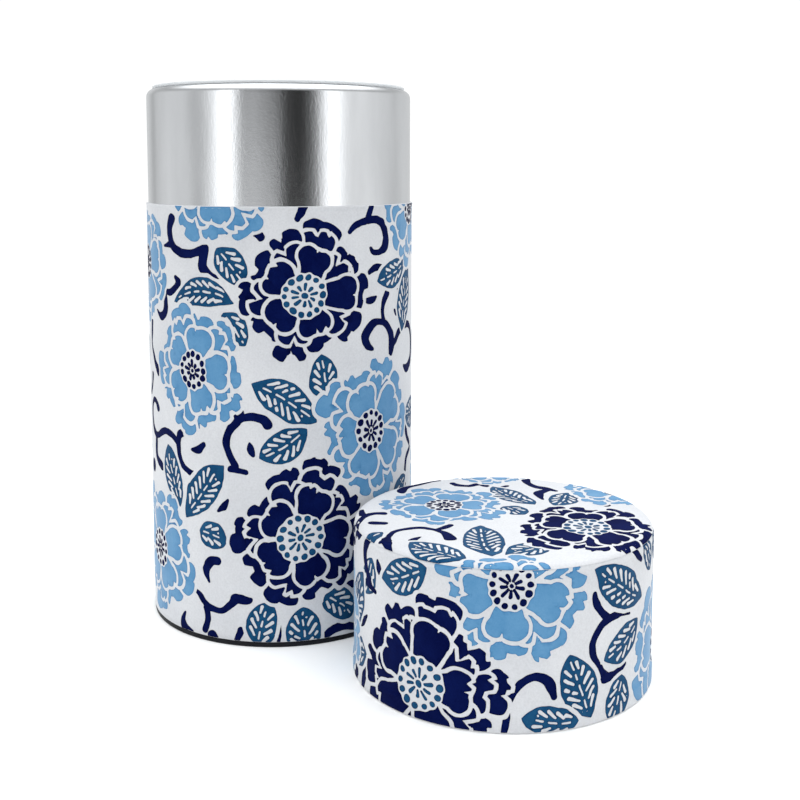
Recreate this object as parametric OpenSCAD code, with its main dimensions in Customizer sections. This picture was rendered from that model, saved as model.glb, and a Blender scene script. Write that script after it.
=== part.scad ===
// Tall round tea and spice tin in tinplate, wrapped in printed washi paper.
// It has a press-fit inner lid, and a slip-over outer lid that stands beside it.
// The origin is the centre of the tin's base, +Z is up, and all sizes are in millimetres.

/* [Tin body] */
// Diameter over the body's paper
body_d = 76; // [66:0.5:90]
// Height of the papered body, from the base to the paper's top edge
body_h = 118.4; // [90:0.1:160]
// How far the paper's turned-over top edge stands out
paper_lip = 0.15; // [0.05:0.05:0.3]

/* [Sheet and paper] */
// Thickness of the tinplate
sheet_t = 0.28; // [0.2:0.01:0.35]
// Thickness of the washi paper
paper_t = 0.2; // [0.1:0.05:0.3]

/* [Base] */
// Height of the dark seamed rim below the paper
rim_h = 1.4; // [1:0.1:2.5]
// How far the base's middle panel is set up above the table
panel_lift = 2.2; // [1.5:0.1:3]
// Width of the pressed step round the middle panel
step_w = 2.6; // [2:0.1:5]

/* [Neck sleeve] */
// Height that the bare neck stands out of the body
neck_rise = 31.7; // [25:0.1:34]
// Length of the neck sleeve inside the body
neck_hidden = 24; // [10:1:60]
// Radius of the rolled outer shoulder at the mouth
shoulder_r = 2.2; // [1.5:0.1:2.5]
// Width of the flat top of the rolled mouth
mouth_flat = 0.4; // [0.2:0.1:1]
// Radius of the roll inside the mouth
mouth_roll = 0.9; // [0.6:0.1:1.2]
// Length of the hem that turns down inside the mouth
mouth_hem = 3.4; // [2:0.1:6]

/* [Inner lid] */
// Diameter of the flange that lies on the mouth
flange_d = 71.6; // [70:0.1:72]
// Thickness of the plastic
plastic_t = 0.9; // [0.8:0.05:1.2]
// Depth of the plug below the flange
plug_depth = 11; // [8:0.5:16]
// Play between the plug and the mouth, all round
plug_gap = 0.15; // [0.1:0.05:0.3]
// Depth of the dished middle below the flange's top
recess_depth = 5; // [4:0.1:6]
// Diameter of the pull knob
knob_d = 15; // [10:0.5:20]
// Diameter of the knob's stem
stem_d = 9; // [6:0.5:9]

/* [Outer lid] */
// Height of the outer lid
lid_h = 39.6; // [37:0.1:50]
// Play between the outer lid and the neck, all round
lid_gap = 0.2; // [0.1:0.05:0.3]
// Height of the folded hem at the lid's open edge
hem_h = 4.2; // [3:0.1:8]
// Radius of the lid's soft top corner, over the paper
corner_r = 2.4; // [1.8:0.1:3]
// Angle up the corner at which the top paper meets the side paper
paper_seam = 32; // [15:1:60]
// Place of the lid beside the tin, along X
lid_x = 61.1; // [61:0.1:120]
// Place of the lid beside the tin, along Y
lid_y = -47.4; // [-120:0.1:-47]

/* [Hidden] */
$fn = 96;
arc_steps = 8;

// Radii from the body's paper inwards
paper_r = body_d / 2;
shell_r = paper_r - paper_t;
rim_r = paper_r - 0.1;
seam_r = rim_r - sheet_t;
neck_r = shell_r - sheet_t;

// Heights of the body's parts
shell_foot = sheet_t;
shell_top = body_h - paper_t;
paper_foot = rim_h + 0.1;
crest_z = body_h + neck_rise;

// The rolled mouth
shoulder_x = neck_r - shoulder_r;
shoulder_z = crest_z - shoulder_r;
roll_x = shoulder_x - mouth_flat;
roll_z = crest_z - mouth_roll;
mouth_r = roll_x - mouth_roll;

// The base's seam and middle panel
seam_in_r = seam_r - sheet_t;
pan_r = seam_in_r - sheet_t;
panel_r = pan_r - step_w;
foot_round = 0.2;

// The inner lid
plug_r = mouth_r - plug_gap;
recess_r = plug_r - plastic_t;
flange_r = flange_d / 2;
flange_top = crest_z + plastic_t;
floor_top = flange_top - recess_depth;
knob_top = flange_top - 0.6;
knob_t = 1.8;
knob_round = 0.7;
plastic_round = 0.3;

// The outer lid
bore_r = neck_r + lid_gap;
lid_metal_r = bore_r + sheet_t;
hem_r = lid_metal_r + sheet_t;
hem_slope = 0.6;
lid_metal_top = lid_h - paper_t;
metal_corner = corner_r - paper_t;
corner_x = lid_metal_r - metal_corner;
corner_z = lid_metal_top - metal_corner;
turned_in = 1.8;
plate_edge = corner_x;
lid_paper_foot = 0.35;

// Points along a circular arc, from angle a to angle b
function arc(x, z, r, a, b) =
    [for (i = [0 : arc_steps]) let (t = a + (b - a) * i / arc_steps) [x + r * cos(t), z + r * sin(t)]];

// Pan pressed into a raised panel, with an upright channel that grips the body's foot
module base_plate() {
    color([0.13, 0.13, 0.14])
    rotate_extrude()
    polygon(concat(
        [[seam_r, rim_h], [seam_r, sheet_t], [seam_in_r, sheet_t], [seam_in_r, rim_h + 1]],
        [[pan_r, rim_h + 1], [pan_r, panel_lift - sheet_t], [panel_r + 0.6, panel_lift - sheet_t]],
        [[panel_r, panel_lift], [0, panel_lift], [0, panel_lift - sheet_t]],
        [[panel_r - 0.2, panel_lift - sheet_t], [panel_r + 0.4, panel_lift - 2 * sheet_t]],
        [[pan_r, panel_lift - 2 * sheet_t], [pan_r, 0]],
        arc(rim_r - foot_round, foot_round, foot_round, 270, 360),
        [[rim_r, rim_h]]
    ));
}

// Rolled tube, swaged in at the foot so that the base's rim is flush with the paper
module body_shell() {
    swage_low = rim_h + 0.1;
    swage_high = rim_h + 0.8;
    color([0.72, 0.73, 0.74])
    rotate_extrude()
    polygon([
        [seam_r, shell_foot], [seam_r, swage_low], [shell_r, swage_high], [shell_r, shell_top],
        [neck_r, shell_top], [neck_r, swage_high], [seam_in_r, swage_low], [seam_in_r, shell_foot],
    ]);
}

// Bare sleeve that stands out of the body, its mouth rolled over and hemmed
module neck_sleeve() {
    color([0.8, 0.81, 0.82])
    rotate_extrude()
    polygon(concat(
        [[neck_r, body_h - neck_hidden]],
        arc(shoulder_x, shoulder_z, shoulder_r, 0, 90),
        arc(roll_x, roll_z, mouth_roll, 90, 180),
        [[mouth_r, crest_z - mouth_hem], [mouth_r + sheet_t, crest_z - mouth_hem]],
        arc(roll_x, roll_z, mouth_roll - sheet_t, 180, 90),
        arc(shoulder_x, shoulder_z, shoulder_r - sheet_t, 90, 0),
        [[neck_r - sheet_t, body_h - neck_hidden]]
    ));
}

// Printed paper glued round the body and turned over its top edge
module body_paper() {
    lip_r = paper_r + paper_lip;
    color([0.86, 0.88, 0.9])
    rotate_extrude()
    polygon([
        [shell_r, paper_foot], [paper_r, paper_foot], [paper_r, body_h - 1.2],
        [lip_r, body_h - 0.6], [lip_r, body_h - 0.1], [lip_r - 0.1, body_h],
        [neck_r, body_h], [neck_r, shell_top], [shell_r, shell_top],
    ]);
}

// One plastic moulding: a flange, a plug wall, a dished floor and a pull knob
module inner_lid() {
    stem_r = stem_d / 2;
    knob_r = knob_d / 2;
    color([0.93, 0.94, 0.94])
    rotate_extrude()
    polygon(concat(
        [[0, floor_top - plastic_t], [0, knob_top]],
        arc(knob_r - knob_round, knob_top - knob_round, knob_round, 90, 0),
        [[knob_r, knob_top - knob_t], [stem_r, knob_top - knob_t - 0.3]],
        arc(stem_r + knob_round, floor_top + knob_round, knob_round, 180, 270),
        [[recess_r - 0.4, floor_top], [recess_r, floor_top + 0.4]],
        arc(recess_r + plastic_round, flange_top - plastic_round, plastic_round, 180, 90),
        arc(flange_r - plastic_round, flange_top - plastic_round, plastic_round, 90, 0),
        [[flange_r, crest_z], [plug_r, crest_z]],
        [[plug_r, crest_z - plug_depth + 1], [plug_r - 0.4, crest_z - plug_depth]],
        [[recess_r, crest_z - plug_depth], [recess_r, floor_top - plastic_t]]
    ));
}

// Puts a lid part in its place beside the tin
module beside() {
    translate([lid_x, lid_y, 0]) children();
}

// Lid's side wall: a folded hem below, and a soft corner turned in on top
module lid_shell() {
    hem_bend = sheet_t;
    flange_in = corner_x - turned_in;
    color([0.74, 0.75, 0.76])
    beside() rotate_extrude()
    polygon(concat(
        [[bore_r, corner_z]],
        arc(lid_metal_r, hem_bend, hem_bend, 180, 360),
        [[hem_r, hem_h], [lid_metal_r, hem_h + hem_slope]],
        arc(corner_x, corner_z, metal_corner, 0, 90),
        [[flange_in, lid_metal_top], [flange_in, lid_metal_top - sheet_t]],
        arc(corner_x, corner_z, metal_corner - sheet_t, 90, 0)
    ));
}

// Lid's top: a disc whose edge steps down under the turned-in wall
module lid_top_plate() {
    step_x = corner_x - turned_in - 0.1;
    color([0.72, 0.73, 0.74])
    beside() rotate_extrude()
    polygon([
        [0, lid_metal_top], [step_x, lid_metal_top], [step_x + 0.1, lid_metal_top - sheet_t],
        [plate_edge, lid_metal_top - sheet_t], [plate_edge, lid_metal_top - 2 * sheet_t],
        [step_x - 0.2, lid_metal_top - 2 * sheet_t], [step_x - 0.4, lid_metal_top - sheet_t],
        [0, lid_metal_top - sheet_t],
    ]);
}

// Printed paper glued round the lid, up to the seam on its corner
module lid_side_paper() {
    color([0.86, 0.88, 0.9])
    beside() rotate_extrude()
    polygon(concat(
        [[hem_r, lid_paper_foot], [hem_r + paper_t, lid_paper_foot], [hem_r + paper_t, hem_h]],
        [[lid_metal_r + paper_t, hem_h + hem_slope]],
        arc(corner_x, corner_z, corner_r, 0, paper_seam),
        arc(corner_x, corner_z, metal_corner, paper_seam, 0),
        [[lid_metal_r, hem_h + hem_slope], [hem_r, hem_h]]
    ));
}

// Round printed paper on top of the lid, drawn down over the corner to the seam
module lid_top_paper() {
    color([0.88, 0.9, 0.92])
    beside() rotate_extrude()
    polygon(concat(
        [[0, lid_metal_top], [0, lid_h]],
        arc(corner_x, corner_z, corner_r, 90, paper_seam),
        arc(corner_x, corner_z, metal_corner, paper_seam, 90)
    ));
}

base_plate();
body_shell();
neck_sleeve();
body_paper();
inner_lid();
lid_shell();
lid_top_plate();
lid_side_paper();
lid_top_paper();
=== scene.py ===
import math

import bmesh
import bpy
import numpy as np
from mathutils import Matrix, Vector
from mathutils.geometry import delaunay_2d_cdt


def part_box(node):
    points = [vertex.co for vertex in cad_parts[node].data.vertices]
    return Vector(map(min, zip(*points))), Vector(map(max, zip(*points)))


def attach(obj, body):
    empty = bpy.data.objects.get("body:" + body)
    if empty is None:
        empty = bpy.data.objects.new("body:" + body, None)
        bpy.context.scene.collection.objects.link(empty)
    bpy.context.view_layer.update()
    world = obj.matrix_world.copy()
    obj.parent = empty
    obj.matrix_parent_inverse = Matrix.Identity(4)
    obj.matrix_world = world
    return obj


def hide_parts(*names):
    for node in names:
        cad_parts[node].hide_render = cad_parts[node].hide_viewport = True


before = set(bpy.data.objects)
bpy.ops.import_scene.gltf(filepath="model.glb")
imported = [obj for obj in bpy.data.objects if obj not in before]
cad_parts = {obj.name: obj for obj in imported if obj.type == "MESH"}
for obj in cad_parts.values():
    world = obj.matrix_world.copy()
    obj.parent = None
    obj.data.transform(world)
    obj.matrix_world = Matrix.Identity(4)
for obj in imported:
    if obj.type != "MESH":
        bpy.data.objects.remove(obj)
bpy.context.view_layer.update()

MM = 0.001


# ---------------------------------------------------------------- sizes from the frame
def span(node):
    """A node's lowest and highest corners in millimetres."""
    low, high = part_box(node)
    return [v / MM for v in low], [v / MM for v in high]


def middle(node):
    """The axis of a round node, as X and Y in millimetres."""
    low, high = span(node)
    return (low[0] + high[0]) / 2, (low[1] + high[1]) / 2


SHEET_T = 0.28
PAPER_T = 0.2

BODY_TOP = span("body_paper")[1][2]
BODY_FOOT = span("body_paper")[0][2]
SHELL_R = span("body_shell")[1][0]
PAPER_R = SHELL_R + PAPER_T
NECK_R = span("neck_sleeve")[1][0]
NECK_LOW = span("neck_sleeve")[0][2]
CREST_Z = span("neck_sleeve")[1][2]
SHOULDER_R = 2.2
MOUTH_FLAT = 0.4
MOUTH_ROLL = 0.9
MOUTH_R = NECK_R - SHOULDER_R - MOUTH_FLAT - MOUTH_ROLL
MOUTH_HEM = 3.4

RIM_R = span("base_plate")[1][0]
RIM_H = 1.4
PANEL_LIFT = 2.2
STEP_W = 2.6

FLANGE_R = span("inner_lid")[1][0]
FLANGE_TOP = span("inner_lid")[1][2]
PLUG_FOOT = span("inner_lid")[0][2]
PLASTIC_T = FLANGE_TOP - CREST_Z
PLUG_R = MOUTH_R - 0.15
RECESS_R = PLUG_R - PLASTIC_T
RECESS_DEPTH = 5.0
KNOB_R = 7.5
STEM_R = 4.5

LID_X, LID_Y = middle("lid_shell")
LID_H = span("lid_top_paper")[1][2]
LID_METAL_TOP = LID_H - PAPER_T
HEM_R = (span("lid_shell")[1][0] - span("lid_shell")[0][0]) / 2
LID_METAL_R = HEM_R - SHEET_T
LID_BORE_R = LID_METAL_R - SHEET_T
LID_PAPER_R = LID_METAL_R + PAPER_T
LID_PAPER_FOOT = span("lid_side_paper")[0][2]
HEM_H = 4.2
HEM_SLOPE = 0.6
CORNER_R = 2.4
METAL_CORNER = CORNER_R - PAPER_T
CORNER_X = LID_METAL_R - METAL_CORNER
CORNER_Z = LID_METAL_TOP - METAL_CORNER
TURNED_IN = 1.8
PAPER_SEAM = 32
CORNER_LIFT = 0.06
WELD_RISE = 0.035
WELD_HALF = 1.2

TIN_AXIS = (0.0, 0.0)
LID_AXIS = (LID_X, LID_Y)
ROUND = 288


# ---------------------------------------------------------------- small mesh helpers
def arc(x, z, radius, start, end, steps=8):
    """Points along an arc in a profile, angles in degrees."""
    angles = np.radians(np.linspace(start, end, steps + 1))
    return [(x + radius * math.cos(a), z + radius * math.sin(a)) for a in angles]


def make_object(name, mesh, material, smooth_angle=35):
    """Links a mesh as a smooth-shaded object whose sharp edges stay sharp."""
    bm = bmesh.new()
    bm.from_mesh(mesh)
    bmesh.ops.remove_doubles(bm, verts=bm.verts, dist=1e-7)
    bmesh.ops.recalc_face_normals(bm, faces=bm.faces)
    limit = math.radians(smooth_angle)
    for face in bm.faces:
        face.smooth = True
    for edge in bm.edges:
        edge.smooth = len(edge.link_faces) == 2 and edge.calc_face_angle(0.0) < limit
    bm.to_mesh(mesh)
    bm.free()
    obj = bpy.data.objects.new(name, mesh)
    bpy.context.scene.collection.objects.link(obj)
    mesh.materials.append(material)
    return obj


def revolve(name, outline, axis, material, turns=ROUND, reshape=None):
    """Turns a closed outline of (radius, height) points round an upright axis."""
    verts, faces = [], []
    rings = []
    for radius, height in outline:
        if radius < 1e-6:
            rings.append([len(verts)] * turns)
            verts.append((axis[0] * MM, axis[1] * MM, height * MM))
            continue
        ring = []
        for i in range(turns):
            angle = 2 * math.pi * i / turns
            r, z = reshape(angle, radius, height) if reshape else (radius, height)
            ring.append(len(verts))
            verts.append(((axis[0] + r * math.sin(angle)) * MM, (axis[1] - r * math.cos(angle)) * MM, z * MM))
        rings.append(ring)
    for k, ring in enumerate(rings):
        after = rings[(k + 1) % len(rings)]
        for i in range(turns):
            j = (i + 1) % turns
            corners = []
            for v in (ring[i], ring[j], after[j], after[i]):
                if v not in corners:
                    corners.append(v)
            if len(corners) > 2:
                faces.append(corners)
    mesh = bpy.data.meshes.new(name)
    mesh.from_pydata(verts, [], faces)
    return make_object(name, mesh, material)


# ---------------------------------------------------------------- smooth noise
def smooth_noise(x, z, cell, seed):
    """Seeded value noise between -1 and 1, smooth over one cell."""
    rng = np.random.default_rng(seed)
    table = rng.uniform(-1, 1, (97, 97))
    gx, gz = x / cell + 31.7, z / cell + 17.3
    ix, iz = np.floor(gx).astype(int), np.floor(gz).astype(int)
    fx, fz = gx - ix, gz - iz
    fx, fz = fx * fx * (3 - 2 * fx), fz * fz * (3 - 2 * fz)
    a, b = table[iz % 97, ix % 97], table[iz % 97, (ix + 1) % 97]
    c, d = table[(iz + 1) % 97, ix % 97], table[(iz + 1) % 97, (ix + 1) % 97]
    return (a * (1 - fx) + b * fx) * (1 - fz) + (c * (1 - fx) + d * fx) * fz


# ---------------------------------------------------------------- printed sheet as fields
NAVY, SKY, TEAL = "navy", "sky", "teal"
GRID = 0.25
FAR = 9.0
LINE = 0.95
RIM_WIDTH = 0.26
INK_LIFT = 0.035
INK_SINK = 0.015


class Print:
    """A printed area: for each ink, the distance to its edge, negative inside the ink."""

    def __init__(self, low_x, high_x, low_z, high_z, seed):
        self.seed = seed
        self.xs = np.arange(low_x - 2 * GRID, high_x + 2.5 * GRID, GRID)
        self.zs = np.arange(low_z - 2 * GRID, high_z + 2.5 * GRID, GRID)
        x, z = np.meshgrid(self.xs, self.zs)
        self.plain = (x, z)
        self.wx = x + 0.42 * smooth_noise(x, z, 4.5, seed) + 0.09 * smooth_noise(x, z, 1.1, seed + 1)
        self.wz = z + 0.42 * smooth_noise(x, z, 4.5, seed + 2) + 0.09 * smooth_noise(x, z, 1.1, seed + 3)
        self.ink = {name: np.full(x.shape, FAR) for name in (NAVY, SKY, TEAL)}

    def window(self, x, z, reach):
        """The slice of the grid round a point, and its hand-cut coordinates."""
        i0, i1 = np.searchsorted(self.zs, (z - reach, z + reach))
        j0, j1 = np.searchsorted(self.xs, (x - reach, x + reach))
        if i0 >= i1 or j0 >= j1:
            return None
        part = (slice(i0, i1), slice(j0, j1))
        return part, self.wx[part] - x, self.wz[part] - z

    def clear(self, part, shape, line=LINE):
        """Leaves bare paper inside a shape and for a line's width round it."""
        for field in self.ink.values():
            field[part] = np.maximum(field[part], line - shape)

    def stamp(self, part, shape, ink, line=LINE):
        """Prints a shape over what is there, with a bare line round it."""
        self.clear(part, shape, line)
        self.ink[ink][part] = np.minimum(self.ink[ink][part], shape)

    def trim(self, shape):
        """Keeps only the ink inside a shape."""
        for name, field in self.ink.items():
            self.ink[name] = np.maximum(field, shape)


def disc(u, v, radius):
    return np.hypot(u, v) - radius


def capsule(u, v, u0, v0, u1, v1, r0, r1):
    """Distance to a round-ended stroke whose radius runs from r0 to r1."""
    du, dv = u1 - u0, v1 - v0
    t = np.clip(((u - u0) * du + (v - v0) * dv) / max(du * du + dv * dv, 1e-9), 0, 1)
    return np.hypot(u - u0 - t * du, v - v0 - t * dv) - (r0 + (r1 - r0) * t)


def petal(u, v, reach, half, rng, cut=1.0):
    """A broad petal along +v from the origin, two-lobed, with a stepped notch of relative depth cut."""
    u = u * rng.choice((-1, 1))
    high, low = half * rng.uniform(0.62, 0.70), half * rng.uniform(0.50, 0.60)
    drop = half * rng.uniform(0.10, 0.34) * cut
    shape = disc(u + 0.33 * half, v - (reach - high), high)
    shape = np.minimum(shape, disc(u - 0.46 * half, v - (reach - drop - low), low))
    shape = np.minimum(shape, capsule(u, v, 0, 0, 0, reach - drop - 0.85 * half, 0.34 * half, 0.86 * half))
    notch_u = half * rng.uniform(-0.05, 0.26)
    notch_v = reach - drop - half * rng.uniform(0.34, 0.46) * cut
    shape = np.maximum(shape, -notch(u - notch_u, v - notch_v, 0.06 + 0.2 * cut, rng.uniform(0.8, 1.4) * cut))
    if rng.uniform() < 0.5:
        tooth_v = reach - half * rng.uniform(0.20, 0.34)
        shape = np.maximum(shape, -notch(-u - half * rng.uniform(0.42, 0.6), v - tooth_v, 0.9, 0.6))
    return shape


def soft_max(a, b):
    """The larger of two distances, rounded off where they cross."""
    blend = 1.3
    near = np.maximum(blend - np.abs(a - b), 0) / blend
    return np.maximum(a, b) + near * near * blend / 4


def notch(u, v, left, right):
    """A V-shaped cut that opens upward from the origin, with its own slope on each side."""
    slope = np.where(u < 0, left, right)
    return (np.abs(u) - slope * v) / np.hypot(1, slope)


def flower(sheet, x, z, radius, tall, ink, turn=0, reaches=(0.7, 0.66, 0.7, 0.66, 0.7), extras=()):
    """A double flower: five broad petals, smaller ones between them, crescents behind, and a dotted eye.

    The first broad petal points along turn; reaches are the five petals' lengths over the radius;
    extras are the directions of further crescents behind the rest.
    """
    found = sheet.window(x, z, radius * 1.3)
    if found is None:
        return
    part, u, v = found
    v = v / tall
    rng = np.random.default_rng(int(abs(x) * 31 + abs(z) * 17 + radius * 7) + sheet.seed)

    def turned(direction):
        a = math.radians(direction - 90)
        return u * math.cos(a) + v * math.sin(a), -u * math.sin(a) + v * math.cos(a)

    def slice_of(direction, spread):
        across, along = turned(direction)
        a = math.radians(spread)
        return np.abs(across) * math.cos(a) - along * math.sin(a)

    def crescent(direction, front, reach, spread):
        across, along = turned(direction)
        echo = front - LINE - radius * 0.105
        own = petal(across, along, radius * reach, radius * 0.30, rng)
        return soft_max(np.minimum(echo, own), slice_of(direction + rng.uniform(-2, 2), spread))

    broad = [petal(*turned(turn + 72 * k), radius * reaches[k], radius * 0.258, rng, 0.55) for k in range(5)]
    small = []
    for k in range(5):
        small.append(petal(*turned(turn + 36 + 72 * k), radius * rng.uniform(0.77, 0.83), radius * 0.27, rng))
    ring = []
    for k in range(5):
        ring.append(crescent(turn + 72 * k, broad[k], reaches[k] + rng.uniform(0.22, 0.26), 18))
        ring.append(crescent(turn + 36 + 72 * k, small[k], rng.uniform(0.98, 1.05), 17))
    for direction in extras:
        behind = int(round((direction - turn) / 36)) % 10
        sheet.stamp(part, crescent(direction, ring[behind], 1.16, 17), ink)
    for k in rng.permutation(10):
        sheet.stamp(part, ring[k], ink)
    for k in range(5):
        sheet.stamp(part, soft_max(small[k], slice_of(turn + 36 + 72 * k, 24)), ink)
    for k in range(5):
        sheet.stamp(part, soft_max(broad[k], slice_of(turn + 72 * k, 38)), ink)
    eye(sheet, part, u, v, radius, TEAL if ink == NAVY else NAVY, turn)


def eye(sheet, part, u, v, radius, ink, turn):
    """The bare round middle of a flower, with a ring of dots and a burst of dashes."""
    small = ink == NAVY
    dots, ring_r, dot_r = (13, radius * 0.24, 0.76) if small else (14, radius * 0.285, 0.83)
    angle = np.arctan2(v, u)
    bare = ring_r + dot_r + 0.32 + 0.14 * np.cos(dots * (angle - math.radians(turn)))
    sheet.clear(part, np.hypot(u, v) - bare, 0.0)
    shapes = [disc(u, v, 0.5 if small else 0.9)]
    for k in range(dots):
        a = math.radians(turn) + 2 * math.pi * k / dots
        wide = dot_r * (1 + 0.12 * math.sin(3 * a + turn))
        shapes.append(disc(u - ring_r * math.cos(a), v - ring_r * math.sin(a), wide))
    dashes = 9 if small else 10
    for k in range(dashes):
        a = math.radians(turn + 9) + 2 * math.pi * k / dashes
        c, s = math.cos(a), math.sin(a)
        near, far = (1.15, ring_r - dot_r - 0.85) if small else (1.75, ring_r - dot_r - 1.0)
        far -= 0.5 * (k % 2)
        shapes.append(capsule(u, v, near * c, near * s, far * c, far * s, 0.34, 0.48))
    sheet.ink[ink][part] = np.minimum(sheet.ink[ink][part], np.minimum.reduce(shapes))


def leaf(sheet, x, z, angle, length, width, bend=0.05):
    """A pointed leaf along its angle, with round-ended slots beside its rib and along it."""
    found = sheet.window(x, z, length * 0.62)
    if found is None:
        return
    part, u, v = found
    a = math.radians(angle)
    along, across = u * math.cos(a) + v * math.sin(a), -u * math.sin(a) + v * math.cos(a)
    half_l, half_w = length / 2, width / 2
    across = across + bend * length * ((along / half_l) ** 2 - 0.4)
    arc_r = (half_l ** 2 + half_w ** 2) / (2 * half_w)
    sides = np.hypot(along, np.abs(across) + arc_r - half_w) - arc_r
    blunt = disc(along + 0.22 * half_l, across, half_w * 0.98)
    outline = np.minimum(sides, np.maximum(blunt, -along - 0.86 * half_l))
    sheet.stamp(part, outline, TEAL)
    rng = np.random.default_rng(int(abs(x) * 13 + abs(z) * 29 + length) + sheet.seed)
    slots = []
    start = -0.66 * half_l
    while start < 0.72 * half_l:
        run = rng.uniform(1.3, 2.6)
        slots.append(capsule(along, across, start, 0, min(start + run, 0.78 * half_l), 0, 0.27, 0.24))
        start += run + 1.5
    for side in (-1, 1):
        at = -0.70 * half_l + (0.9 if side > 0 else 0.0)
        while at < 0.62 * half_l:
            tip = at + 0.30 * half_w + 0.5
            edge = math.sqrt(max(arc_r ** 2 - tip ** 2, 0)) - arc_r + half_w
            reach = edge - 1.25
            if reach > 1.25:
                low = 1.3
                if reach > 3.4 and rng.uniform() < 0.35:
                    mid = low + (reach - low) * 0.5
                    lean = (mid - 0.35 - low) * 0.75
                    near, far = side * (mid - 0.35), side * (mid + 0.6)
                    slots.append(capsule(along, across, at, side * low, at + lean, near, 0.31, 0.41))
                    slots.append(capsule(along, across, at + lean + 0.9, far, tip, side * reach, 0.41, 0.45))
                else:
                    slots.append(capsule(along, across, at, side * low, tip, side * reach, 0.31, 0.47))
            elif reach > 0.75:
                slots.append(disc(along - at, across - side * 1.05, 0.30))
            at += 2.1
    slot = np.maximum(np.minimum.reduce(slots), outline + 0.5)
    sheet.ink[TEAL][part] = np.maximum(sheet.ink[TEAL][part], -slot)


def vine(sheet, points, dx=0.0, dz=0.0):
    """A curling stroke through points of (along, up, width), smoothed between them."""
    knots = np.array([points[0]] + list(points) + [points[-1]], float)
    path = []
    for k in range(1, len(knots) - 2):
        before, first, second, after = knots[k - 1:k + 3]
        for t in np.linspace(0, 1, 7)[:-1]:
            bend = 0.5 * t * (second - before)
            bend = bend + 0.5 * t * t * (2 * before - 5 * first + 4 * second - after)
            path.append(first + bend + 0.5 * t ** 3 * (3 * first - before - 3 * second + after))
    path = np.array(path + [knots[-1]]) + (dx, dz, 0.0)
    centre = path[:, :2].mean(axis=0)
    reach = np.hypot(*(path[:, :2] - centre).T).max() + 3.0
    found = sheet.window(centre[0], centre[1], reach)
    if found is None:
        return
    part, u, v = found
    strokes = []
    for (u0, v0, w0), (u1, v1, w1) in zip(path[:-1] - (*centre, 0.0), path[1:] - (*centre, 0.0)):
        strokes.append(capsule(u, v, u0, v0, u1, v1, w0 / 2, w1 / 2))
    sheet.stamp(part, np.minimum.reduce(strokes), NAVY, 0.0)


# ---------------------------------------------------------------- ink fields to meshes
def contours(field):
    """Closed loops where the field is zero, ink on the left, in grid units (x, z)."""
    inside = field < 0
    cross_h = inside[:, :-1] != inside[:, 1:]
    cross_v = inside[:-1, :] != inside[1:, :]
    h_id = np.full(cross_h.shape, -1)
    v_id = np.full(cross_v.shape, -1)
    h_id[cross_h] = np.arange(cross_h.sum())
    v_id[cross_v] = np.arange(cross_v.sum()) + cross_h.sum()
    hi, hj = np.nonzero(cross_h)
    vi, vj = np.nonzero(cross_v)
    ht = field[hi, hj] / (field[hi, hj] - field[hi, hj + 1])
    vt = field[vi, vj] / (field[vi, vj] - field[vi + 1, vj])
    points = np.concatenate([np.stack([hj + ht, hi], 1), np.stack([vj, vi + vt], 1)])
    a, b = inside[:-1, :-1], inside[:-1, 1:]
    c, d = inside[1:, 1:], inside[1:, :-1]
    centre = (field[:-1, :-1] + field[:-1, 1:] + field[1:, 1:] + field[1:, :-1]) < 0
    edges = (h_id[:-1, :], v_id[:, 1:], h_id[1:, :], v_id[:, :-1])
    leave = (a & ~b, b & ~c, c & ~d, d & ~a)
    enter = (~a & b, ~b & c, ~c & d, ~d & a)
    after = np.full(len(points), -1)
    saddle = (a == c) & (b == d) & (a != b)
    for s in range(4):
        for e in range(4):
            if s == e:
                continue
            hit = leave[s] & enter[e] & ~saddle
            after[edges[s][hit]] = edges[e][hit]
        step = np.where(centre, 1, 3)
        for k in (1, 3):
            hit = leave[s] & saddle & (step == k)
            after[edges[s][hit]] = edges[(s + k) % 4][hit]
    loops, seen = [], np.zeros(len(points), bool)
    chain = after.tolist()
    for start in range(len(points)):
        if seen[start]:
            continue
        loop, k = [], start
        while not seen[k]:
            seen[k] = True
            loop.append(k)
            k = chain[k]
        if len(loop) > 5:
            loops.append(points[loop])
    return loops


def thin_out(loop, tolerance, passes=3):
    """Drops loop points that lie almost on the line between their neighbours."""
    for _ in range(passes):
        if len(loop) < 12:
            break
        before, after = np.roll(loop, 1, 0), np.roll(loop, -1, 0)
        chord = after - before
        length = np.hypot(chord[:, 0], chord[:, 1]) + 1e-9
        step = loop - before
        off = np.abs(chord[:, 0] * step[:, 1] - chord[:, 1] * step[:, 0]) / length
        drop = off < tolerance
        drop[::2] = False
        drop[-1] = False
        loop = loop[~drop]
    return loop


def turned_area(loop):
    """The area inside a loop, positive when it runs anticlockwise."""
    after = np.roll(loop, -1, 0)
    return float(np.sum(loop[:, 0] * after[:, 1] - after[:, 0] * loop[:, 1])) / 2


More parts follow.
